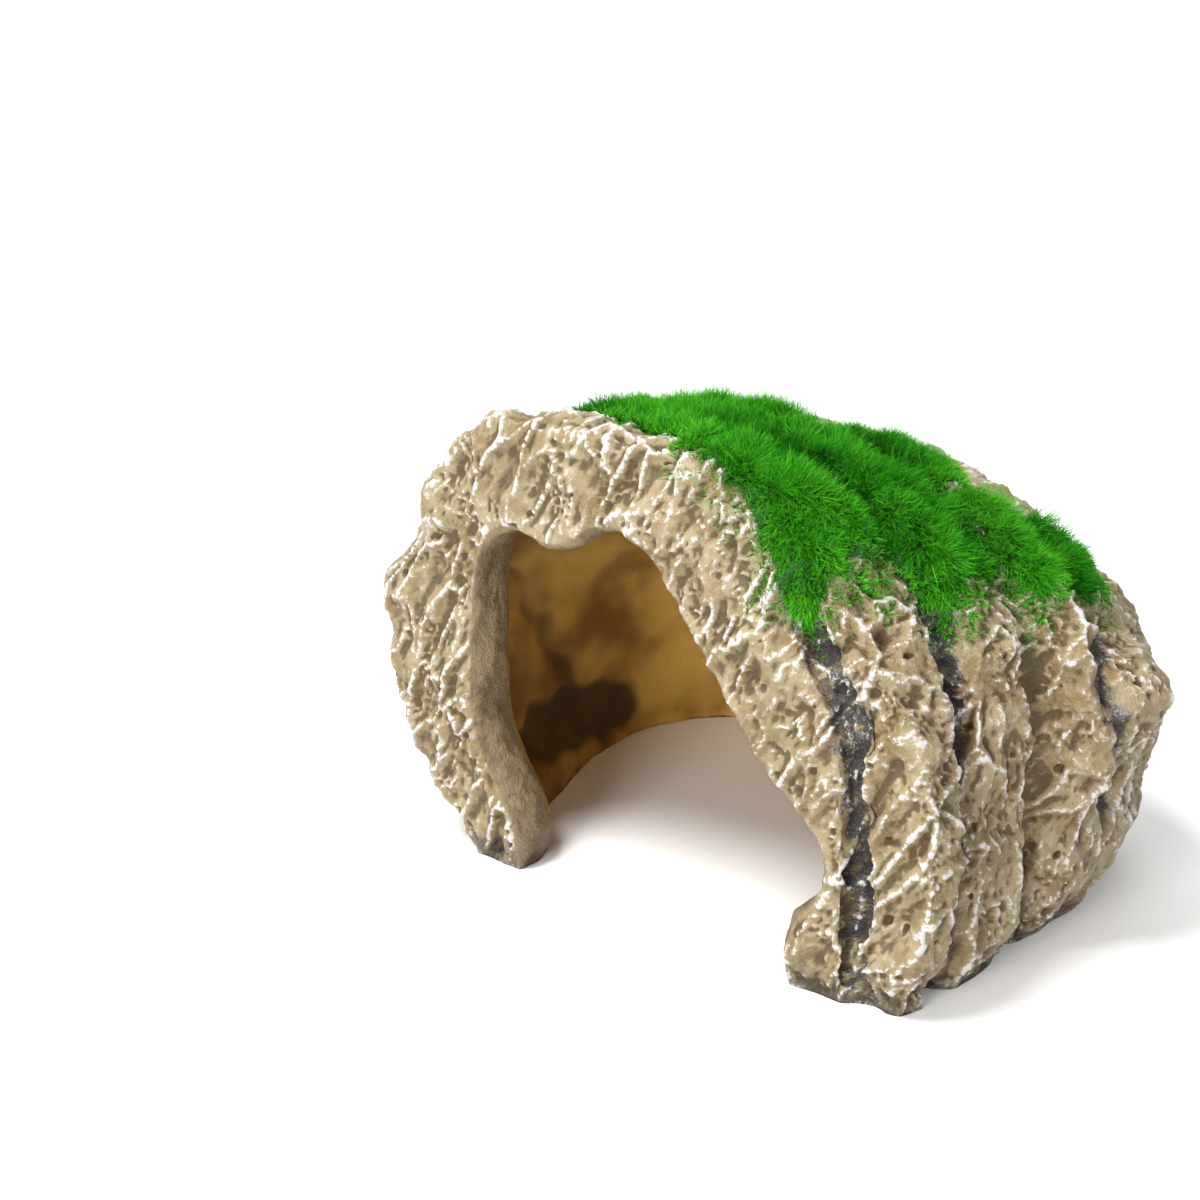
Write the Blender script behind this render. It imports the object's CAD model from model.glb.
import math
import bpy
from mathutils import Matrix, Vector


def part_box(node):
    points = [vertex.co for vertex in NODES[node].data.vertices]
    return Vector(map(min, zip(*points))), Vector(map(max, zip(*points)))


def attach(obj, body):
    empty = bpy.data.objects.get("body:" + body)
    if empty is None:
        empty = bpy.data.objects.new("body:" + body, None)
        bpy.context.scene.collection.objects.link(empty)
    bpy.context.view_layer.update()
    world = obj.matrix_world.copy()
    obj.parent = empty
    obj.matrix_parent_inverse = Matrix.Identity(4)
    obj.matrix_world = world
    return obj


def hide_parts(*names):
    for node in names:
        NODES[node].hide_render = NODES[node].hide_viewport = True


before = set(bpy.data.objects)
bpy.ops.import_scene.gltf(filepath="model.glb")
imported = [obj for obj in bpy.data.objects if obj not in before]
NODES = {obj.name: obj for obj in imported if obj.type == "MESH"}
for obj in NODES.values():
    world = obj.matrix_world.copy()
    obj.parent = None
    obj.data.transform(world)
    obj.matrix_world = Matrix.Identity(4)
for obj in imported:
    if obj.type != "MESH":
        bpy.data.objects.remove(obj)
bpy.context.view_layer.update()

from types import SimpleNamespace

import bpy
import numpy as np
from mathutils import Vector
from mathutils.bvhtree import BVHTree

# The looks of an aquarium cave ornament: a cast resin rock with creased, dry-brushed faces,
# a smooth brown hollow, and green flock planted in adhesive on its top.
# Lengths with _MM in their name, and all patterns, are in millimetres; Blender's own are metres.

MM = 0.001
SCENE = bpy.context.scene

PATCHES = ("carpet", "rear_left", "rear_middle", "rear_right", "right_clump", "left_tuft")
HOLLOW_AXIS_MM = ((0.0, -30.0, 25.0), (0.0, 24.0, 25.0))   # the middle of the chamber, front to back
GRAIN_MM = 0.62               # edge of the rock's mesh
FOOT_TUCK_MM = 1.8            # how far the foot's edge is rounded under
FOOT_TUCK_TOP_MM = 7.0        # height at which that rounding ends
INSIDE_FROM_MM = (-39.0, -33.0)   # y over which the sides of the mouth turn into the inside
FILM_LIFT_MM = 0.28           # the adhesive's height over the rock
FILM_ROOT_MM = 0.15           # how far its underside is sunk into the rock
FIBRE_MM = (2.8, 5.6)         # the moss fibres' lengths, which fill the depth of their patch
FIBRE_OVER_MM = 0.4           # how far a fibre stands over its pad
FIBRE_WIDTH_MM = 0.14
FIBRE_ROOT_MM = 0.25          # how deep a fibre stands in its bed
FIBRE_TANGLE = 0.50           # how far a fibre leans by chance, against 1 for upright
FIBRE_COMB = 0.36             # how far neighbours lean together
FIBRE_BEND = 0.34             # how far its upper half turns aside
FIBRE_DROOP = (0.08, -0.08, -0.20)    # added to its direction, so that it sags
FIBRE_LOWEST_MM = 0.5         # no fibre comes closer to the ground
KNEE_SHARE = 0.52             # how far along a fibre its joint is
FIBRES_PER_MM2 = 42.0
STRAY_MM = 0.75               # how far a fibre stands from its even place
FRINGE_PER_MM = 34.0          # stray fibres along the rim of the moss
FRINGE_MM = 2.0               # how far they stray, on average
DROP_FROM_MM = 2.0            # fibres are dropped onto the rock from this far above their pad
DROP_REACH_MM = 11.0          # and are left out if there is no rock within this
# Wisps of moss below the carpet: from, to, how far they scatter, and how many fibres.
TRAILS = (((51, -12, 66), (55, -12.7, 60), 1.4, 420), ((36.5, -39.5, 70.5), (41, -36, 66.5), 1.2, 300),
          ((25, -46, 71), (28, -46, 67), 1.0, 220))
SEED = 11


# ---------------------------------------------------------------- small helpers
def link(obj):
    SCENE.collection.objects.link(obj)
    return obj


def mesh_object(name, points, faces):
    """An object from points in mm and faces."""
    mesh = bpy.data.meshes.new(name)
    mesh.from_pydata([tuple(p) for p in np.asarray(points) * MM], [], faces)
    mesh.update()
    return link(bpy.data.objects.new(name, mesh))


def points_mm(mesh):
    flat = np.empty(len(mesh.vertices) * 3, dtype=np.float32)
    mesh.vertices.foreach_get("co", flat)
    return flat.reshape(-1, 3).astype(float) / MM


def set_points_mm(mesh, points):
    mesh.vertices.foreach_set("co", (points * MM).astype(np.float32).ravel())
    mesh.update()


def normals_of(mesh):
    flat = np.empty(len(mesh.vertices) * 3, dtype=np.float32)
    mesh.vertices.foreach_get("normal", flat)
    return flat.reshape(-1, 3).astype(float)


def edges_of(mesh):
    flat = np.empty(len(mesh.edges) * 2, dtype=np.int32)
    mesh.edges.foreach_get("vertices", flat)
    return flat.reshape(-1, 2)


def unit(vectors):
    return vectors / np.maximum(np.linalg.norm(vectors, axis=-1, keepdims=True), 1e-9)


def smoothed(values, edges, rounds, share=0.5):
    """Values at the vertices, each moved towards its neighbours' mean, a number of times."""
    values = np.asarray(values, dtype=float).copy()
    flat = values.ndim == 1
    values = values.reshape(len(values), -1)
    a, b = edges[:, 0], edges[:, 1]
    count = np.maximum(np.bincount(a, minlength=len(values)) + np.bincount(b, minlength=len(values)), 1)
    for _ in range(rounds):
        for column in range(values.shape[1]):
            v = values[:, column]
            total = np.bincount(a, v[b], len(v)) + np.bincount(b, v[a], len(v))
            values[:, column] = v + share * (total / count - v)
    return values[:, 0] if flat else values


def reached(flags, edges, seeds):
    """The flagged vertices that are joined to the seeds through flagged vertices."""
    a, b = edges[:, 0], edges[:, 1]
    found = seeds & flags
    while True:
        more = np.zeros(len(flags), dtype=bool)
        more[b[found[a]]] = True
        more[a[found[b]]] = True
        more &= flags & ~found
        if not more.any():
            return found
        found |= more


def from_axis(points):
    """Unit vectors to the points from the nearest place on the chamber's middle line."""
    low, high = HOLLOW_AXIS_MM
    axis = np.stack([np.zeros(len(points)), np.clip(points[:, 1], low[1], high[1]),
                     np.full(len(points), low[2])], axis=1)
    return unit(points - axis)


def smoothstep(x, low, high):
    t = np.clip((x - low) / (high - low), 0.0, 1.0)
    return t * t * (3.0 - 2.0 * t)


def store(mesh, name, values):
    """Stores one number or vector per vertex."""
    values = np.asarray(values, dtype=np.float32)
    kind = "FLOAT" if values.ndim == 1 else "FLOAT_VECTOR"
    layer = mesh.attributes.new(name, kind, "POINT")
    layer.data.foreach_set("value" if values.ndim == 1 else "vector", values.ravel())


def stored(mesh, name):
    """The numbers stored at the vertices under that name."""
    layer = mesh.attributes[name].data
    values = np.empty(len(layer), dtype=np.float32)
    layer.foreach_get("value", values)
    return values


def baked(obj):
    """obj's mesh with its modifiers applied, and the modifiers gone."""
    graph = bpy.context.evaluated_depsgraph_get()
    mesh = bpy.data.meshes.new_from_object(obj.evaluated_get(graph))
    obj.modifiers.clear()
    old = obj.data
    obj.data = mesh
    bpy.data.meshes.remove(old)
    return mesh


def field(places, size, seed):
    """Smooth random vectors that vary over about size mm, from a few waves."""
    rng = np.random.default_rng(seed)
    total = np.zeros((len(places), 3))
    for _ in range(10):
        wave = rng.normal(size=3) / size
        phase = rng.random(3) * 2 * math.pi
        total += np.sin(places @ wave[:, None] * 2.2 + phase[None, :])
    return total / 3.2


class Web:
    """Adds nodes to a tree, for materials and geometry alike, and wires their inputs."""

    def __init__(self, tree):
        self.tree = tree

    def add(self, kind, values=(), **settings):
        node = self.tree.nodes.new(kind)
        for key, value in settings.items():
            setattr(node, key, value)
        for key, value in dict(values).items():
            self.put(node.inputs[key], value)
        return node

    def put(self, socket, value):
        if isinstance(value, bpy.types.NodeSocket):
            self.tree.links.new(value, socket)
        elif value is not None:
            socket.default_value = value

    def math(self, operation, a, b=None, clamp=False):
        node = self.add("ShaderNodeMath", operation=operation, use_clamp=clamp)
        for socket, value in zip(node.inputs, (a, b)):
            self.put(socket, value)
        return node.outputs[0]

    def plus(self, *terms):
        total = terms[0]
        for term in terms[1:]:
            total = self.math("ADD", total, term)
        return total

    def times(self, *terms):
        total = terms[0]
        for term in terms[1:]:
            total = self.math("MULTIPLY", total, term)
        return total

    def step(self, value, low, high, start=0.0, end=1.0):
        """start below low, end above high, smooth between."""
        node = self.add("ShaderNodeMapRange", interpolation_type="SMOOTHSTEP")
        for index, item in enumerate((value, low, high, start, end)):
            self.put(node.inputs[index], item)
        return node.outputs[0]

    def vector(self, operation, a, b=None, scale=None):
        node = self.add("ShaderNodeVectorMath", operation=operation)
        self.put(node.inputs[0], a)
        if b is not None:
            self.put(node.inputs[1], b)
        if scale is not None:
            self.put(node.inputs["Scale"], scale)
        return node.outputs["Vector"]

    def split(self, vector):
        return self.add("ShaderNodeSeparateXYZ", {0: vector}).outputs

    def join(self, x, y, z):
        return self.add("ShaderNodeCombineXYZ", {0: x, 1: y, 2: z}).outputs[0]

    def noise(self, at, size, detail=2.0, rough=0.5, kind="FBM", out="Factor"):
        """Noise whose largest features are about size across."""
        node = self.add("ShaderNodeTexNoise", noise_dimensions="3D", noise_type=kind)
        node.normalize = kind == "FBM"
        wanted = {"Vector": at, "Scale": 1.0 / size, "Detail": detail, "Roughness": rough}
        for key, value in wanted.items():
            self.put(node.inputs[key], value)
        return node.outputs[0 if out == "Factor" else 1]

    def uneven(self, at, size, detail=2.0, rough=0.5):
        """Noise that varies about 0."""
        return self.math("SUBTRACT", self.noise(at, size, detail, rough), 0.5)

    def cells(self, at, size, feature="DISTANCE_TO_EDGE", out="Distance"):
        """Voronoi cells about size across; distances are in cells."""
        node = self.add("ShaderNodeTexVoronoi", voronoi_dimensions="3D", feature=feature)
        self.put(node.inputs["Vector"], at)
        self.put(node.inputs["Scale"], 1.0 / size)
        return node.outputs[out]

    def mix(self, share, a, b):
        """Colour a where share is 0, and b where it is 1."""
        node = self.add("ShaderNodeMix", data_type="RGBA", blend_type="MIX", clamp_factor=True)
        self.put(node.inputs["Factor"], share)
        for name, colour in (("A", a), ("B", b)):
            socket = [s for s in node.inputs if s.name == name and s.type == "RGBA"][0]
            self.put(socket, colour)
        return [s for s in node.outputs if s.type == "RGBA"][0]


# ---------------------------------------------------------------- the rock's relief
def warped(web, at, size, reach):
    """The place moved about by noise, so that straight cells turn crooked."""
    shift = web.vector("SUBTRACT", web.noise(at, size, 2.0, out="Color"), (0.5, 0.5, 0.5))
    return web.vector("ADD", at, web.vector("SCALE", shift, scale=reach))


def scallop(web, distance, reach):
    """0 on a cell's edge and 1 in its middle, rising steeply from the edge like a scooped dish."""
    part = web.math("MULTIPLY", distance, 1.0 / reach, clamp=True)
    return web.times(part, web.math("SUBTRACT", 2.0, part))


# How far each form raises the surface, in mm.
BROAD_RISE = 4.5
LUMP_RISE = 4.6
SCOOP_RISE = -1.75
CHIP_RISE = -0.70
CRUMPLE_RISE = 1.15
PIT_RISE = -0.95
TOOTH_RISE = 0.80
OUTER_RISE = 0.65             # added everywhere, because most forms cut in
# How large they are, in mm.
BROAD_SIZE = 22.0
LUMP_SIZE = 8.0
SCOOP_SIZE = 7.2
CHIP_SIZE = 2.7
CRUMPLE_SIZE = 5.0
PIT_SPACING = 3.3
TOOTH_SIZE = 1.5


def leaning_place(web, at):
    """The place sheared and squeezed, so that forms lean to the side and are drawn out upwards."""
    x, y, z = web.split(at)
    return web.join(web.plus(x, web.times(z, -0.40)), y, web.times(z, 0.50))


def facets(web, at):
    """The scooped facets, then the small chips: distance to their edges, and how much they show."""
    scoop = web.cells(warped(web, warped(web, leaning_place(web, at), 13.0, 10.0), 4.5, 4.0), SCOOP_SIZE)
    scoop_share = web.step(web.noise(at, 10.0, 1.0), 0.34, 0.58, 0.35, 1.0)
    chip = web.cells(warped(web, warped(web, at, 5.0, 4.0), 1.8, 1.5), CHIP_SIZE)
    elsewhere = web.vector("ADD", at, (31.0, 7.0, 5.0))
    chip_share = web.step(web.noise(elsewhere, 7.0, 2.0), 0.46, 0.60)
    return scoop, scoop_share, chip, chip_share


def pits(web, at):
    """1 in the small pits, which differ in size."""
    spot_at = warped(web, warped(web, at, 3.0, 2.2), 0.9, 0.8)
    spot = web.cells(spot_at, PIT_SPACING, "F1")
    pick = web.split(web.cells(spot_at, PIT_SPACING, "F1", "Color"))[0]
    reach = web.step(pick, 0.6, 1.0, 0.04, 0.27)
    pit = web.step(web.math("SUBTRACT", spot, reach), -0.10, 0.02, 1.0, 0.0)
    return web.times(pit, web.math("GREATER_THAN", pick, 0.74))


def crests(web, at):
    """1 along the edges between facets."""
    scoop, scoop_share, chip, chip_share = facets(web, at)
    edge = web.times(web.step(scoop, 0.0, 0.075, 1.0, 0.0), scoop_share)
    chip_edge = web.times(web.step(chip, 0.0, 0.11, 1.0, 0.0), chip_share)
    return web.math("MAXIMUM", edge, web.times(chip_edge, 0.8))


def relief(web, at):
    """Height of the outer surface in mm at a place in mm."""
    scoop, scoop_share, chip, chip_share = facets(web, at)
    leaning = leaning_place(web, at)
    bowl = web.times(scallop(web, scoop, 0.36), scoop_share)
    small_bowl = web.times(scallop(web, chip, 0.38), chip_share)
    wrinkle_at = warped(web, leaning, 6.0, 5.0)
    wrinkle = web.noise(wrinkle_at, CRUMPLE_SIZE, 5.0, 0.62, kind="RIDGED_MULTIFRACTAL")
    crumple = web.math("MULTIPLY", wrinkle, 0.75, clamp=True)
    return web.plus(
        web.times(web.uneven(at, BROAD_SIZE, 1.0), BROAD_RISE),
        web.times(web.uneven(leaning, LUMP_SIZE, 3.0, 0.55), LUMP_RISE),
        web.times(bowl, SCOOP_RISE),
        web.times(small_bowl, CHIP_RISE),
        web.times(crumple, CRUMPLE_RISE),
        web.times(pits(web, at), PIT_RISE),
        web.times(web.uneven(at, TOOTH_SIZE, 4.0, 0.65), TOOTH_RISE),
    )


# The deep grooves between the ribs, as paths over the rock, with the depth to add, the half
# width and how far the black wash reaches.
GROOVES = (
    (((30, -46, 69), (34, -46, 62), (38, -45, 55.5), (41, -45, 50), (42.5, -44, 44), (43.4, -44, 37),
      (44, -43.5, 29), (44.3, -43.5, 18), (44.5, -44, 6), (44.7, -44, 0)), 0.8, 2.2, 2.2),
    (((45, -28.5, 66), (48, -30, 56), (50, -31.5, 44), (50.5, -32.5, 30), (51, -33, 15), (50, -33.5, 0)),
     0.6, 2.0, 2.3),
    (((50, -14, 62), (52, -14, 52), (52.5, -13.5, 40), (52, -13, 26), (51, -12.5, 12), (49, -12.5, 0)),
     0.4, 2.0, 1.1),
    (((57, 1, 60), (60, -1, 58), (63.5, -5.5, 54), (65.5, -6.5, 48), (67, -5, 44), (66.5, -3, 36),
      (62, 4, 23)), 2.8, 2.2, 1.7),
)
# Swellings and dents of the rock: centre, radius and height.
SWELLINGS = (((66, 3.5, 48), 5.5, 3.2), ((64.5, 4, 31), 9.0, -3.2), ((59, 4, 58), 6.0, -2.8),
             ((63, 18, 40), 9.0, -2.0))
# A dark pocket in the inside wall on the left, as a path with its depth and half width.
POCKET = (((-55, -22, 9), (-57, -10, 9.5), (-57.5, 2, 9.5), (-57.5, 12.5, 7)), 2.0, 7.0)
SEAM = ((-57, -19, 44), (-58.5, -12, 34), (-58.8, -6.5, 24), (-57.9, -3, 16))
SEAM_HALF_MM = 2.6
# Valleys between the rows of rock and moss that run over the top: y at the middle, drift with
# x, depth and half width.
VALLEYS = ((-31.0, 0.10, 2.2, 3.0), (-21.0, 0.10, 1.5, 2.4), (-13.5, 0.04, 2.4, 2.6), (2.0, 0.0, 1.8, 3.0),
           (17.0, -0.05, 2.2, 3.5), (31.0, 0.0, 1.8, 3.5))


def path_distance(points, path):
    """How far each point is from a path of straight pieces."""
    best = np.full(len(points), 1e9)
    for a, b in zip(np.array(path, dtype=float), np.array(path[1:], dtype=float)):
        along = np.clip(((points - a) @ (b - a)) / ((b - a) @ (b - a)), 0.0, 1.0)
        best = np.minimum(best, np.linalg.norm(points - a - along[:, None] * (b - a), axis=1))
    return best


def swelling(points):
    """How far the swellings and dents move the surface out at each point."""
    total = np.zeros(len(points))
    for centre, radius, height in SWELLINGS:
        away = np.linalg.norm(points - np.array(centre, dtype=float), axis=1) / radius
        total += height * np.exp(-away * away)
    return total


def groove_share(points):
    """(depth to cut, how dark the wash is) of the grooves at each point."""
    wander = field(points, 3.0, 91) * 0.8
    depth, dark = np.zeros(len(points)), np.zeros(len(points))
    for path, deep, half, reach in GROOVES:
        away = path_distance(points + wander, path)
        depth = np.maximum(depth, deep * np.exp(-(away / half) ** 2))
        dark = np.maximum(dark, 1.0 - smoothstep(away, reach * 0.75, reach * 1.9))
    return depth, dark


def valley_depth(points):
    """How deep the valleys between the rows are at each point."""
    x, y, z = points.T
    depth = np.zeros(len(points))
    wander = 1.3 * np.sin(x / 9.0 + 0.6) + 0.8 * np.sin(x / 4.3)
    for middle, drift, deep, half in VALLEYS:
        away = (y - middle - drift * (x - 20.0) - wander) / half
        depth += deep * np.exp(-away * away)
    return depth * smoothstep(z, 52.0, 70.0)


def relief_modifier(rock):
    """Pushes the rock's vertices out and in by the relief, which fades on the smooth inside."""
    tree = bpy.data.node_groups.new("rock_relief", "GeometryNodeTree")
    tree.interface.new_socket("Geometry", in_out="INPUT", socket_type="NodeSocketGeometry")
    tree.interface.new_socket("Geometry", in_out="OUTPUT", socket_type="NodeSocketGeometry")
    web = Web(tree)

    def named(name, kind="FLOAT"):
        return web.add("GeometryNodeInputNamedAttribute", {"Name": name}, data_type=kind).outputs["Attribute"]

    rest, push = named("rest", "FLOAT_VECTOR"), named("push", "FLOAT_VECTOR")
    inner, floor_fade, valley, pocket = named("inner"), named("floor_fade"), named("valley"), named("pocket")
    outer = web.plus(relief(web, rest), OUTER_RISE, web.times(valley, -1.0))
    gentle = web.plus(
        web.times(web.uneven(rest, 20.0), 2.4),
        web.times(web.uneven(rest, 4.0), 0.35),
        web.times(pocket, -POCKET[1]),
    )
    mixed = web.plus(web.times(outer, web.math("SUBTRACT", 1.0, inner)), web.times(gentle, inner))
    offset = web.vector("SCALE", push, scale=web.times(mixed, floor_fade, MM))
    move = web.add("GeometryNodeSetPosition", {"Offset": offset})
    start = tree.nodes.new("NodeGroupInput")
    end = tree.nodes.new("NodeGroupOutput")
    tree.links.new(start.outputs[0], move.inputs["Geometry"])
    tree.links.new(move.outputs[0], end.inputs[0])
    modifier = rock.modifiers.new("relief", "NODES")
    modifier.node_group = tree


def even_mesh(rock):
    """Turns the shell into an even mesh with softened edges and a flat foot."""
    remesh = rock.modifiers.new("even", "REMESH")
    remesh.mode = "VOXEL"
    remesh.voxel_size = GRAIN_MM * MM
    mesh = baked(rock)
    points = points_mm(mesh)
    flat_foot = points[:, 2] < 0.45 * GRAIN_MM
    even = smoothed(points, edges_of(mesh), 8)
    even[flat_foot, 2] = points[flat_foot, 2]
    set_points_mm(mesh, even)
    return mesh, even


def inside_share(points, normals, edges):
    """1 on the inside wall and the sides of the mouth, 0 on the outer faces."""
    facing_in = (unit(smoothed(normals, edges, 2)) * from_axis(points)).sum(axis=1) < -0.05
    roof = (np.abs(points[:, 0]) < 6.0) & (np.abs(points[:, 1]) < 6.0)
    return smoothstep(smoothed(reached(facing_in, edges, roof).astype(float), edges, 4), 0.35, 0.75)


def pocket_share(points):
    """How much of the dark pocket, and of the seam above it, is at each point."""
    path, _, half = POCKET
    wavy = points + field(points, 6.0, 23) * 1.2
    pocket = np.exp(-(path_distance(wavy, path) / half) ** 4)
    return np.maximum(pocket, 0.55 * np.exp(-(path_distance(wavy, SEAM) / SEAM_HALF_MM) ** 2))


def relief_share(points, jamb, edges):
    """How much of the relief shows: none under the foot, less beside the mouth."""
    share = smoothstep(points[:, 2], 0.2, 2.4) * 0.75 + 0.25
    share[points[:, 2] < 0.4] = 0.0
    share *= 1.0 - 0.5 * np.clip(2.5 * smoothed(jamb, edges, 10), 0.0, 1.0)
    return share * (1.0 - 0.35 * jamb)


def tucked(points, normals, edges):
    """The points with the foot's edge drawn in."""
    sideways = smoothed(normals, edges, 12) * (1.0, 1.0, 0.0)
    low = 1.0 - smoothstep(points[:, 2], -1.0, FOOT_TUCK_TOP_MM)
    tuck = FOOT_TUCK_MM * low * (1.0 + 0.5 * field(points, 5.0, 17)[:, 0])
    return points - sideways * tuck[:, None]


def make_rock():
    """The shell as an even mesh with its relief, and what the paint needs at each vertex."""
    rock = link(bpy.data.objects.new("cave_rock", NODES["cave_shell"].data.copy()))
    rock.data.materials.clear()
    mesh, even = even_mesh(rock)
    edges, normals = edges_of(mesh), normals_of(mesh)
    inside = inside_share(even, normals, edges)
    inner = inside * smoothstep(even[:, 1], *INSIDE_FROM_MM)
    jamb = inside - inner
    groove, dark = groove_share(even)
    store(mesh, "rest", even)
    store(mesh, "push", unit(smoothed(normals, edges, 3)))
    store(mesh, "inner", inner)
    store(mesh, "jamb", jamb)
    store(mesh, "pocket", pocket_share(even) * inner)
    store(mesh, "cavity", ((smoothed(even, edges, 45) - even) * normals).sum(axis=1))
    store(mesh, "floor_fade", relief_share(even, jamb, edges))
    store(mesh, "valley", (valley_depth(even) + groove - swelling(even)) * (1.0 - inner))
    store(mesh, "groove", dark * (1.0 - inner))
    set_points_mm(mesh, tucked(even, normals, edges))
    relief_modifier(rock)
    mesh = baked(rock)
    points = points_mm(mesh)
    points[:, 2] = np.maximum(points[:, 2], 0.0)
    set_points_mm(mesh, points)
    mesh.polygons.foreach_set("use_smooth", [True] * len(mesh.polygons))
    edges, normals = edges_of(mesh), normals_of(mesh)
    close = smoothed(points, edges, 3)
    wide = smoothed(close, edges, 22)
    store(mesh, "edge_rise", ((points - close) * normals).sum(axis=1))
    store(mesh, "lump_rise", ((points - wide) * normals).sum(axis=1))
    return rock


# ---------------------------------------------------------------- the paint on the rock
def new_material(name):
    material = bpy.data.materials.new(name)
    material.use_nodes = True
    tree = material.node_tree
    shader = tree.nodes["Principled BSDF"]
    return material, Web(tree), shader


def attribute(web, name, out="Fac"):
    return web.add("ShaderNodeAttribute", attribute_name=name).outputs[out]


def rgb(r, g, b):
    return (r, g, b, 1.0)


TAN_DARK = rgb(0.180, 0.126, 0.052)
TAN_LIGHT = rgb(0.292, 0.232, 0.132)
TAN_WORN = rgb(0.37, 0.32, 0.235)
OCHRE = rgb(0.145, 0.090, 0.032)
HOLLOW_BROWN = rgb(0.070, 0.044, 0.016)
PIT_BROWN = rgb(0.085, 0.042, 0.012)
BLACK_WASH = rgb(0.018, 0.017, 0.018)
WHITE_PAINT = rgb(0.540, 0.528, 0.510)
SIDE_DARK = rgb(0.090, 0.062, 0.030)
SIDE_LIGHT = rgb(0.195, 0.142, 0.074)
GOLD_DARK = rgb(0.220, 0.105, 0.015)
GOLD_LIGHT = rgb(0.55, 0.320, 0.064)
GOLD_SPOT = rgb(0.060, 0.030, 0.008)
GOLD_ROOF = rgb(0.050, 0.024, 0.005)
POCKET_BROWN = rgb(0.022, 0.012, 0.004)


def rock_look(web):
    """What the rock's paint depends on: what was stored at its vertices, and noises over it."""
    names = ("inner", "jamb", "cavity", "groove", "pocket", "edge_rise", "lump_rise")
    look = SimpleNamespace(**{name: attribute(web, name) for name in names})
    look.rest = attribute(web, "rest", "Vector")
    look.z = web.split(look.rest)[2]
    look.outer = web.math("SUBTRACT", 1.0, look.inner)
    look.patchy = web.noise(look.rest, 9.0, 3.0, 0.6)
    look.ragged = web.uneven(look.rest, 2.6, 4.0, 0.68)
    look.grain = web.uneven(look.rest, 1.5, 4.0, 0.7)
    look.speck = web.uneven(look.rest, 0.50, 3.0, 0.75)
    thread_at = warped(web, look.rest, 1.3, 1.4)
    look.threads = web.noise(thread_at, 1.0, 2.0, 0.55, kind="RIDGED_MULTIFRACTAL")
    return look


def cast_colour(web, look):
    """The tan of the casting, browner in its hollows and pits."""
    tan = web.mix(web.step(look.patchy, 0.36, 0.64), TAN_DARK, TAN_LIGHT)
    worn = web.step(web.plus(look.grain, web.times(look.edge_rise, 1.5)), -0.05, 0.32, 0.0, 0.5)
    tan = web.mix(worn, tan, TAN_WORN)
    elsewhere = web.vector("ADD", look.rest, (9.0, 3.0, 40.0))
    ochre = web.step(web.noise(elsewhere, 5.0, 3.0, 0.6), 0.48, 0.66)
    colour = web.mix(web.times(ochre, 0.50), tan, OCHRE)
    sunk = web.plus(web.times(look.lump_rise, -1.0), web.times(look.edge_rise, -3.4),
                    web.times(look.grain, 0.9))
    colour = web.mix(web.step(sunk, 0.06, 0.66, 0.0, 0.84), colour, HOLLOW_BROWN)
    return web.mix(web.times(pits(web, look.rest), 0.70), colour, PIT_BROWN)


def black_share(web, look):
    """Where the black wash lies: in the deep grooves and at the feet."""
    washed = web.times(look.groove, web.step(look.z, 3.0, 22.0, 0.62, 1.0))
    groove = web.step(web.plus(washed, web.times(look.ragged, 2.6), web.times(look.grain, 1.4),
                               web.times(look.speck, 2.0)), 0.44, 0.86)
    deep = web.step(web.plus(look.cavity, web.times(look.lump_rise, -0.8), web.times(look.ragged, 1.5)),
                    1.1, 2.0)
    foot = web.step(web.plus(look.z, web.times(look.ragged, 24.0), web.times(look.speck, 8.0)),
                    -1.0, 5.0, 0.75, 0.0)
    return web.times(web.math("MAXIMUM", web.math("MAXIMUM", groove, deep), foot), look.outer)


def white_share(web, look, black):
    """Where white is dry-brushed: over the edges, in fine threads over the black, and as dust."""
    uneven_patch = web.math("SUBTRACT", look.patchy, 0.5)
    lace = web.noise(warped(web, look.rest, 2.0, 2.0), 1.7, 3.0, 0.6, kind="RIDGED_MULTIFRACTAL")
    rub = web.plus(web.times(look.edge_rise, 3.0), web.times(look.lump_rise, 0.42),
                   web.times(crests(web, look.rest), 0.16),
                   web.times(look.grain, 2.0), web.times(look.speck, 2.5), web.times(uneven_patch, 1.6),
                   web.times(web.step(lace, 1.0, 1.9), web.plus(0.42, web.times(black, 0.55))))
    lines = web.plus(look.threads, web.times(look.speck, 2.8), web.times(look.lump_rise, 0.7))
    dust = web.step(web.plus(lines, web.times(uneven_patch, 2.0)), 1.25, 2.0)
    white = web.math("MAXIMUM", web.step(rub, 0.57, 1.10), web.times(dust, 0.55))
    white = web.times(white, look.outer, web.step(look.jamb, 0.0, 1.0, 1.0, 0.22),
                      web.step(look.cavity, 1.8, 3.4, 1.0, 0.5))
    frost = web.times(black, web.step(lines, 0.0, 0.95), 0.78)
    return web.math("MAXIMUM", white, frost)


def hollow_colour(web, look):
    """The smooth golden-brown inside, darker under the roof and in its pocket."""
    stain = web.noise(look.rest, 17.0, 2.0, 0.5)
    gold = web.mix(web.step(stain, 0.35, 0.65), GOLD_DARK, GOLD_LIGHT)
    spots = web.step(web.noise(look.rest, 2.6, 3.0, 0.7), 0.62, 0.74, 0.0, 0.35)
    gold = web.mix(spots, gold, GOLD_SPOT)
    gold = web.mix(web.step(look.z, 44.0, 60.0, 0.0, 0.6), gold, GOLD_ROOF)
    return web.mix(web.step(look.pocket, 0.15, 0.75, 0.0, 0.88), gold, POCKET_BROWN)


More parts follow.
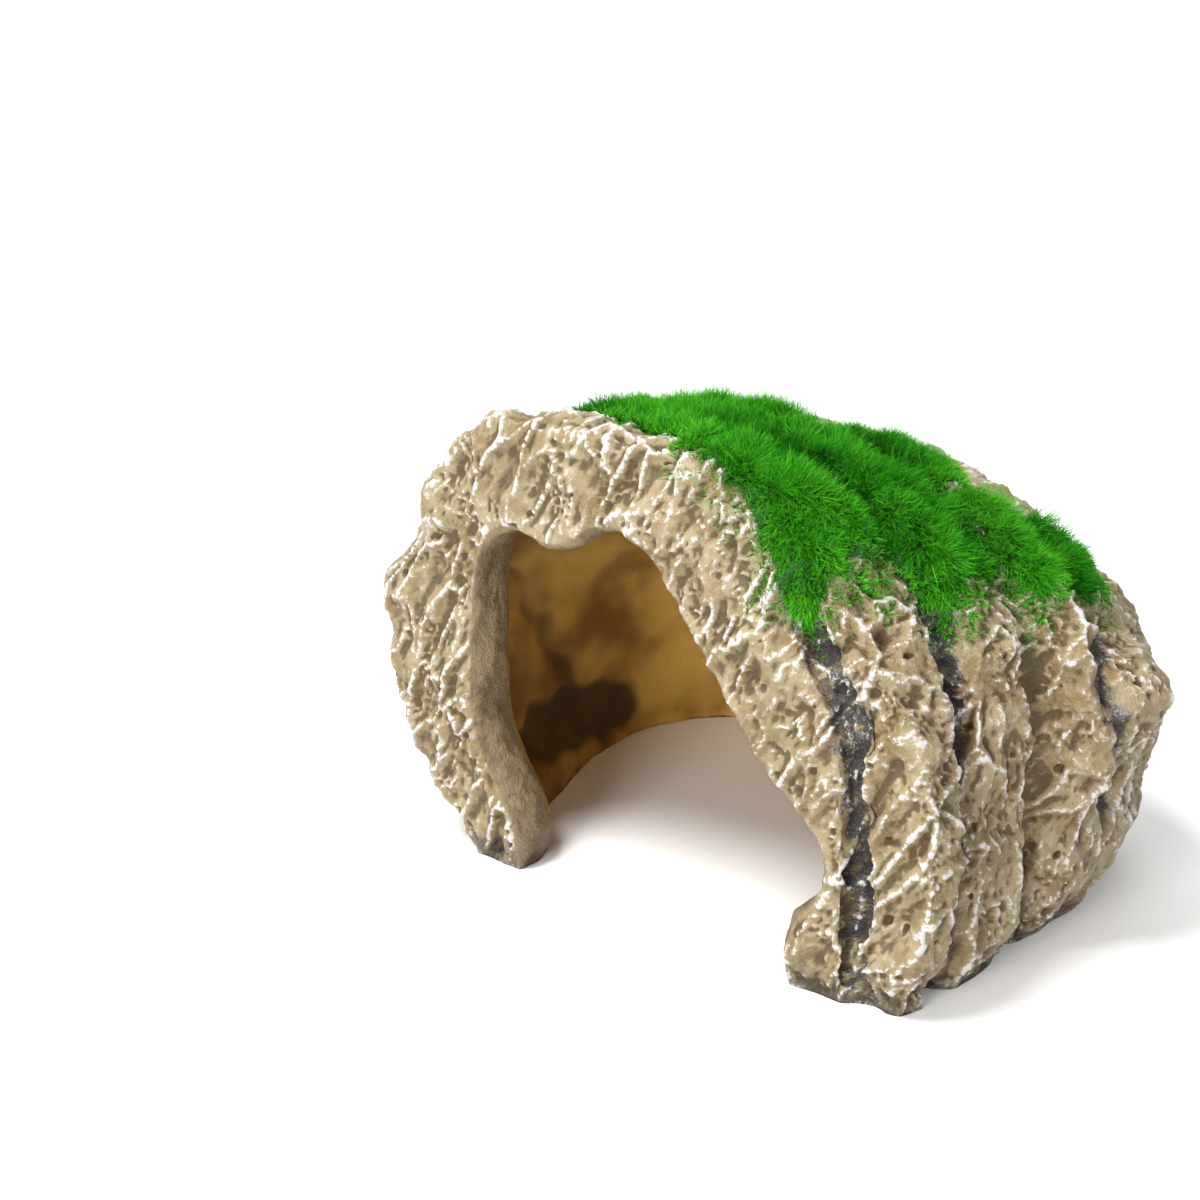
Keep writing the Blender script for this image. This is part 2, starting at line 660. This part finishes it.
def rock_material():
    """Lacquered paint on the casting, laid by the shape of the surface."""
    material, web, shader = new_material("painted_resin")
    look = rock_look(web)
    black = black_share(web, look)
    white = white_share(web, look, black)
    colour = web.mix(web.times(black, 0.93), cast_colour(web, look), BLACK_WASH)
    colour = web.mix(web.times(white, 0.88), colour, WHITE_PAINT)
    side = web.step(web.plus(look.jamb, web.times(look.ragged, 0.6)), 0.15, 0.95, 0.0, 0.75)
    side_colour = web.mix(web.step(look.patchy, 0.38, 0.62), SIDE_DARK, SIDE_LIGHT)
    colour = web.mix(side, colour, side_colour)
    web.put(shader.inputs["Base Color"], web.mix(look.inner, colour, hollow_colour(web, look)))
    rough = web.plus(0.44, web.times(white, 0.28), web.times(look.grain, 0.25), web.times(look.inner, 0.16))
    web.put(shader.inputs["Roughness"], rough)
    bump = web.add("ShaderNodeBump", {"Strength": 0.85, "Distance": 1.0 * MM})
    fine = web.plus(web.times(look.grain, 0.80), web.times(look.speck, 0.40), web.times(look.threads, 0.16))
    web.put(bump.inputs["Height"], web.times(fine, web.math("SUBTRACT", 1.0, web.times(look.inner, 0.75))))
    web.put(shader.inputs["Normal"], bump.outputs[0])
    shader.inputs["Specular IOR Level"].default_value = 0.38
    return material


# ---------------------------------------------------------------- moss
def tree_of(obj):
    mesh = obj.data
    return BVHTree.FromPolygons([v.co for v in mesh.vertices], [p.vertices[:] for p in mesh.polygons])


def triangles_mm(mesh):
    mesh.calc_loop_triangles()
    flat = np.empty(len(mesh.loop_triangles) * 3, dtype=np.int32)
    mesh.loop_triangles.foreach_get("vertices", flat)
    return points_mm(mesh)[flat.reshape(-1, 3)]


def pad_top(node):
    """The triangles of a moss pad that face outwards, and their normals."""
    corners = triangles_mm(node.data)
    cross = np.cross(corners[:, 1] - corners[:, 0], corners[:, 2] - corners[:, 0])
    normals = unit(cross)
    out = (normals * from_axis(corners.mean(axis=1))).sum(axis=1) > 0.55
    areas = np.linalg.norm(cross, axis=1) / 2
    out &= areas > 1e-6
    return corners[out], normals[out], areas[out]


def scatter(rng, corners, normals, areas, count):
    """Random places spread evenly over triangles."""
    chosen = rng.choice(len(areas), size=count, p=areas / areas.sum())
    u, v = rng.random((2, count))
    flip = u + v > 1.0
    u[flip], v[flip] = 1.0 - u[flip], 1.0 - v[flip]
    a, b, c = corners[chosen].transpose(1, 0, 2)
    return a + u[:, None] * (b - a) + v[:, None] * (c - a), normals[chosen]


def on_rock(rock_tree, places, normals):
    """The places dropped along their normals onto the rock, its normals, and which were found."""
    found = np.zeros(len(places), dtype=bool)
    roots, ups = places.copy(), normals.copy()
    for i, (place, normal) in enumerate(zip(places, normals)):
        start = Vector((place + normal * DROP_FROM_MM) * MM)
        hit, up, _, _ = rock_tree.ray_cast(start, Vector(-normal), DROP_REACH_MM * MM)
        if hit is not None:
            roots[i], ups[i], found[i] = np.array(hit) / MM, up, True
    return roots, ups, found


def ribbons(name, points, tint):
    """A mesh of one ribbon for each fibre: a quad and a triangle over its five points.

    The UV map holds the fibre's tint, and how far along the fibre each corner is."""
    count = len(points)
    mesh = bpy.data.meshes.new(name)
    mesh.vertices.add(count * 5)
    mesh.vertices.foreach_set("co", (points.reshape(-1, 3) * MM).astype(np.float32).ravel())
    mesh.loops.add(count * 7)
    corner = (np.arange(count)[:, None] * 5 + np.array([[0, 1, 2, 3, 3, 2, 4]])).reshape(-1)
    mesh.loops.foreach_set("vertex_index", corner.astype(np.int32))
    mesh.polygons.add(count * 2)
    starts = (np.arange(count)[:, None] * 7 + np.array([[0, 4]])).reshape(-1)
    mesh.polygons.foreach_set("loop_start", starts.astype(np.int32))
    mesh.update(calc_edges=True)
    along = np.array([0.02, 0.02, 0.5, 0.5, 0.5, 0.5, 0.98])
    sway = np.array([-1, 1, 1, -1, -1, 1, 0]) * 0.004
    uv = mesh.uv_layers.new(name="OFBake")
    pairs = np.stack([tint[:, None] + sway[None, :], np.broadcast_to(along, (count, 7))], axis=2)
    uv.data.foreach_set("uv", pairs.astype(np.float32).ravel())
    mesh.polygons.foreach_set("use_smooth", [True] * len(mesh.polygons))
    mesh.validate()
    return link(bpy.data.objects.new(name, mesh))


def blades(name, roots, ups, deep, rng, seed, short):
    """The fibres of one patch. deep is how far its pad stands over each root, and short is 1 where
    the fibres are shorter and lighter."""
    count = len(roots)
    row = np.clip(valley_depth(roots) / 1.8, 0.0, 1.0)
    clump = field(roots * (0.45, 1.0, 1.0), 3.4, seed + 9)[:, 0]
    tuft = np.clip(1.0 + 0.28 * field(roots, 3.2, seed + 2)[:, 0], 0.5, 1.3)
    tuft *= 1.0 - 0.42 * row + 0.16 * clump
    length = np.clip(deep, *FIBRE_MM) * rng.uniform(0.85, 1.2, size=count) * (1.0 - 0.40 * short) * tuft
    tangle = rng.normal(size=(count, 3)) * FIBRE_TANGLE
    comb = field(roots, 3.0, seed) * FIBRE_COMB
    droop = np.array(FIBRE_DROOP)
    lean = unit(ups + tangle + comb + droop)
    bend = unit(lean + rng.normal(size=(count, 3)) * FIBRE_BEND + droop)
    side = unit(np.cross(lean, rng.normal(size=(count, 3))))
    width = FIBRE_WIDTH_MM * rng.uniform(0.75, 1.2, size=(count, 1))
    foot = roots - ups * FIBRE_ROOT_MM
    knee = foot + lean * length[:, None] * KNEE_SHARE
    tip = knee + bend * length[:, None] * (1.0 - KNEE_SHARE)
    points = np.stack([foot - side * width / 2, foot + side * width / 2, knee + side * width * 0.45,
                       knee - side * width * 0.45, tip], axis=1)
    points[..., 2] = np.maximum(points[..., 2], FIBRE_LOWEST_MM)
    patchy = field(roots, 9.0, seed + 5)[:, 0]
    tint = 0.44 + 0.13 * patchy + 0.14 * clump - 0.26 * row + rng.normal(size=count) * 0.17 + 0.42 * short
    return ribbons(name, points, np.clip(tint, 0.02, 0.98))


def rim_edges(corners):
    """The edges on the rim of a patch of triangles: both ends, and the corner opposite."""
    edges = {}
    for tri in np.round(corners, 3):
        loop = [tuple(p) for p in tri]
        for k in range(3):
            a, b, opposite = loop[k], loop[(k + 1) % 3], loop[(k + 2) % 3]
            edge = (a, b) if a < b else (b, a)
            edges.setdefault(edge, []).append(opposite)
    return np.array([(*edge, others[0]) for edge, others in edges.items() if len(others) == 1])


def rim_distance(places, rim):
    """How far each place is from the rim of its patch."""
    a, b = rim[:, 0], rim[:, 1]
    middle = np.concatenate([a, b, (a + b) / 2])
    best = np.full(len(places), 1e9)
    for start in range(0, len(places), 4000):
        part = places[start:start + 4000]
        gaps = np.linalg.norm(part[:, None, :] - middle[None, :, :], axis=2)
        best[start:start + 4000] = gaps.min(axis=1)
    return best


def fringe(rng, rim):
    """Places strewn outside the lower parts of the rim, thinning downwards, and their normals."""
    a, b, opposite = rim[:, 0], rim[:, 1], rim[:, 2]
    lengths = np.linalg.norm(b - a, axis=1)
    count = int(lengths.sum() * FRINGE_PER_MM)
    chosen = rng.choice(len(rim), size=count, p=lengths / lengths.sum())
    a, b, opposite = a[chosen], b[chosen], opposite[chosen]
    along, normal = unit(b - a), unit(np.cross(b - a, opposite - a))
    out = unit(np.cross(along, normal))
    out *= np.sign(((a - opposite) * out).sum(axis=1, keepdims=True))
    normal *= np.sign(normal[:, 2:3] + 1e-6)
    far = np.minimum(rng.exponential(FRINGE_MM, size=count), 3.0 * FRINGE_MM)
    downhill = rng.random(count) < np.clip(0.15 - 1.6 * out[:, 2], 0.0, 1.0)
    places = a + (b - a) * rng.random((count, 1)) + out * far[:, None]
    return places[downhill], normal[downhill]


def trails(rng):
    """Wisps of fibres that run down from the carpet over the ribs: their places and normals."""
    places = []
    for start, end, spread, count in TRAILS:
        start, end = np.array(start, dtype=float), np.array(end, dtype=float)
        along = rng.random((count, 1)) ** 1.3
        places.append(start + (end - start) * along + rng.normal(size=(count, 3)) * spread)
    places = np.concatenate(places)
    return places, unit((places - HOLLOW_AXIS_MM[0]) * (1.0, 0.15, 1.0))


def make_moss(rock, name, index):
    """The fibres of one patch, rooted on the rock and filling the patch's pad."""
    node = NODES["moss_flock_" + name]
    rng = np.random.default_rng(SEED + index)
    corners, normals, areas = pad_top(node)
    count = int(areas.sum() * FIBRES_PER_MM2)
    places, ups = scatter(rng, corners, normals, areas, count)
    edges = rim_edges(corners)
    rim = rim_distance(places, edges)
    stray = rng.normal(size=places.shape) * STRAY_MM
    stray -= ups * (stray * ups).sum(axis=1, keepdims=True)
    places = places + stray
    thin = rng.random(count) < np.clip(0.6 + rim / 1.4, 0.0, 1.0)
    strewn, strewn_ups = fringe(rng, edges)
    if name == "carpet":
        hanging, hanging_ups = trails(rng)
        strewn, strewn_ups = np.concatenate([strewn, hanging]), np.concatenate([strewn_ups, hanging_ups])
    places = np.concatenate([places[thin], strewn])
    ups = np.concatenate([ups[thin], strewn_ups])
    near = np.concatenate([1.0 - smoothstep(rim[thin], 0.3, 2.6), np.full(len(strewn), 0.9)])
    roots, rock_ups, found = on_rock(rock["tree"], places, ups)
    deep = np.linalg.norm(places - roots, axis=1) + FIBRE_OVER_MM
    ups = unit(rock_ups * 0.45 + ups * 0.55)
    moss = blades("moss_" + name, roots[found], ups[found], deep[found], rng, SEED + 3 * index, near[found])
    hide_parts(node.name)
    return moss


MOSS_ROOT_DARK = rgb(0.0002, 0.007, 0.0002)
MOSS_ROOT_LIGHT = rgb(0.002, 0.034, 0.001)
MOSS_TIP_DARK = rgb(0.001, 0.200, 0.002)
MOSS_TIP_LIGHT = rgb(0.125, 0.640, 0.022)
MOSS_FLECK = rgb(0.020, 0.250, 0.010)


def moss_material():
    """Green nylon, dark at the root, each fibre with a tint of its own."""
    material, web, shader = new_material("moss_fibre")
    uv = web.add("ShaderNodeUVMap", uv_map="OFBake").outputs[0]
    tint, along, _ = web.split(uv)
    root = web.mix(tint, MOSS_ROOT_DARK, MOSS_ROOT_LIGHT)
    tip = web.mix(tint, MOSS_TIP_DARK, MOSS_TIP_LIGHT)
    body = web.mix(web.step(along, 0.12, 1.0), root, tip)
    flecks = web.noise(web.join(web.times(tint, 60.0), web.times(along, 3.0), 0.0), 1.0, 2.0)
    body = web.mix(web.step(flecks, 0.45, 0.75, 0.0, 0.35), body, MOSS_FLECK)
    web.put(shader.inputs["Base Color"], body)
    web.put(shader.inputs["Roughness"], web.step(along, 0.0, 1.0, 0.70, 0.55))
    shader.inputs["Specular IOR Level"].default_value = 0.12
    return material


def under_pad(rock, name):
    """The rock's outer vertices that lie well inside one patch of moss."""
    pad = tree_of(NODES["moss_flock_" + name])
    mesh = rock["object"].data
    points, normals = points_mm(mesh), normals_of(mesh)
    low, high = (np.array(corner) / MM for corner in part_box("moss_adhesive_" + name))
    near = np.all((points > low - 2.5) & (points < high + 2.5), axis=1)
    inside = np.zeros(len(points), dtype=bool)
    for i in np.flatnonzero(near):
        start = Vector((points[i] - normals[i] * 3.0) * MM)
        hit, _, _, _ = pad.ray_cast(start, Vector(normals[i]), 9.0 * MM)
        inside[i] = hit is not None
    return (smoothed(inside.astype(float), rock["edges"], 5) > 0.82) & (rock["inner"] < 0.5)


def make_film(rock, name):
    """The adhesive under one patch: a thin uneven skin over the rock."""
    mesh = rock["object"].data
    points, normals = points_mm(mesh), normals_of(mesh)
    inside = under_pad(rock, name)
    faces = [p.vertices[:] for p in mesh.polygons if all(inside[v] for v in p.vertices)]
    used = sorted({v for face in faces for v in face})
    number = {v: k for k, v in enumerate(used)}
    spread = field(points[used], 1.6, 40)[:, 0]
    lift = FILM_LIFT_MM * (1.0 + 0.35 * spread)
    top = points[used] + normals[used] * lift[:, None]
    under = points[used] - normals[used] * FILM_ROOT_MM
    count = len(used)
    faces = [[number[v] for v in face] for face in faces]
    sides = {(a, b): True for face in faces for a, b in zip(face, face[1:] + face[:1])}
    rim = [(a, b) for a, b in sides if (b, a) not in sides]
    walls = [[b, a, a + count, b + count] for a, b in rim]
    bottom = [[v + count for v in reversed(face)] for face in faces]
    film = mesh_object("adhesive_" + name, np.concatenate([top, under]), faces + walls + bottom)
    film.data.polygons.foreach_set("use_smooth", [True] * len(film.data.polygons))
    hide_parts("moss_adhesive_" + name)
    return film


FILM_DARK = rgb(0.004, 0.036, 0.003)
FILM_LIGHT = rgb(0.022, 0.080, 0.008)


def film_material():
    """Dried adhesive, stained green by the moss."""
    material, web, shader = new_material("flock_adhesive")
    at = web.vector("SCALE", web.add("ShaderNodeTexCoord").outputs["Object"], scale=1.0 / MM)
    tone = web.noise(at, 2.2, 3.0, 0.6)
    colour = web.mix(web.step(tone, 0.35, 0.68), FILM_DARK, FILM_LIGHT)
    web.put(shader.inputs["Base Color"], colour)
    web.put(shader.inputs["Roughness"], web.step(tone, 0.3, 0.7, 0.50, 0.70))
    shader.inputs["Specular IOR Level"].default_value = 0.2
    fine = web.noise(at, 0.6, 3.0)
    bump = web.add("ShaderNodeBump", {"Strength": 0.5, "Distance": 0.2 * MM, "Height": fine})
    web.put(shader.inputs["Normal"], bump.outputs[0])
    return material


# ---------------------------------------------------------------- the object
rock_object = make_rock()
rock_object.data.materials.append(rock_material())
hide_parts("cave_shell")
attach(rock_object, "root")
ROCK = {"object": rock_object, "tree": tree_of(rock_object), "inner": stored(rock_object.data, "inner"),
        "edges": edges_of(rock_object.data)}

fibre, adhesive = moss_material(), film_material()
for index, patch in enumerate(PATCHES):
    piece = make_moss(ROCK, patch, index)
    piece.data.materials.append(fibre)
    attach(piece, "root")
    skin = make_film(ROCK, patch)
    skin.data.materials.append(adhesive)
    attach(skin, "root")


# ---------------------------------------------------------------- stage, light and camera
CAMERA_MM = (246.5, -330.4, 197.7)
CAMERA_AZIMUTH = 42.18        # degrees; 0 looks along +Y
CAMERA_PITCH = 20.0           # degrees down
LENS_MM = 72.0
FLOOR_HALF = 8.0              # metres
FLOOR_WHITE = 0.90
FLOOR_GLOW = (0.5, 1.4, 0.45)     # from and to these metres out it is lit up to this strength
LAMPS_AT = (0.0, 0.0, 0.04)       # metres; what the lamps point at
WORLD_STRENGTH = 0.60


def make_floor():
    """A plain white floor whose far part is lit, so that it stays white up to the horizon."""
    s = FLOOR_HALF / MM
    floor = mesh_object("studio_floor", [(-s, -s, 0), (s, -s, 0), (s, s, 0), (-s, s, 0)], [[0, 1, 2, 3]])
    material, web, shader = new_material("studio_floor")
    shader.inputs["Base Color"].default_value = rgb(FLOOR_WHITE, FLOOR_WHITE, FLOOR_WHITE)
    shader.inputs["Roughness"].default_value = 0.75
    x, y, _ = web.split(web.add("ShaderNodeTexCoord").outputs["Object"])
    away = web.math("SQRT", web.plus(web.times(x, x), web.times(y, y)))
    shader.inputs["Emission Color"].default_value = rgb(1.0, 1.0, 1.0)
    start, end, strength = FLOOR_GLOW
    web.put(shader.inputs["Emission Strength"], web.step(away, start, end, 0.0, strength))
    floor.data.materials.append(material)


def make_lamp(name, azimuth, elevation, distance, size, power, tone=(1.0, 1.0, 1.0)):
    """A round area lamp; azimuth 0 is in front of the mouth, 90 is to its right."""
    lamp = bpy.data.lights.new(name, "AREA")
    lamp.shape = "DISK"
    lamp.size, lamp.energy, lamp.color = size, power, tone
    obj = link(bpy.data.objects.new(name, lamp))
    a, e = math.radians(azimuth), math.radians(elevation)
    back = Vector((math.sin(a) * math.cos(e), -math.cos(a) * math.cos(e), math.sin(e)))
    obj.location = Vector(LAMPS_AT) + back * distance
    obj.rotation_euler = back.to_track_quat("Z", "Y").to_euler()


def make_studio():
    """White surroundings and four lamps."""
    world = bpy.data.worlds.new("studio")
    SCENE.world = world
    world.use_nodes = True
    world.node_tree.nodes["Background"].inputs["Color"].default_value = rgb(1.0, 1.0, 1.0)
    world.node_tree.nodes["Background"].inputs["Strength"].default_value = WORLD_STRENGTH
    make_lamp("key", -22.0, 62.0, 1.0, 0.40, 12.8, (1.0, 0.99, 0.975))
    make_lamp("front", 10.0, 14.0, 1.1, 0.45, 9.5)
    make_lamp("fill", 95.0, 35.0, 1.1, 0.8, 2.6)
    make_lamp("back", 215.0, 45.0, 1.1, 0.7, 2.5)
    SCENE.view_settings.view_transform = "Standard"


def make_camera():
    """The main camera, in front of the mouth, to its right and above."""
    camera = bpy.data.cameras.new("main_camera")
    obj = link(bpy.data.objects.new("main_camera", camera))
    camera.lens, camera.sensor_width = LENS_MM, 36.0
    camera.clip_start, camera.clip_end = 0.01, 20.0
    obj.location = Vector(CAMERA_MM) * MM
    obj.rotation_euler = (math.radians(90.0 - CAMERA_PITCH), 0.0, math.radians(CAMERA_AZIMUTH))
    SCENE.camera = obj


make_floor()
make_studio()
make_camera()
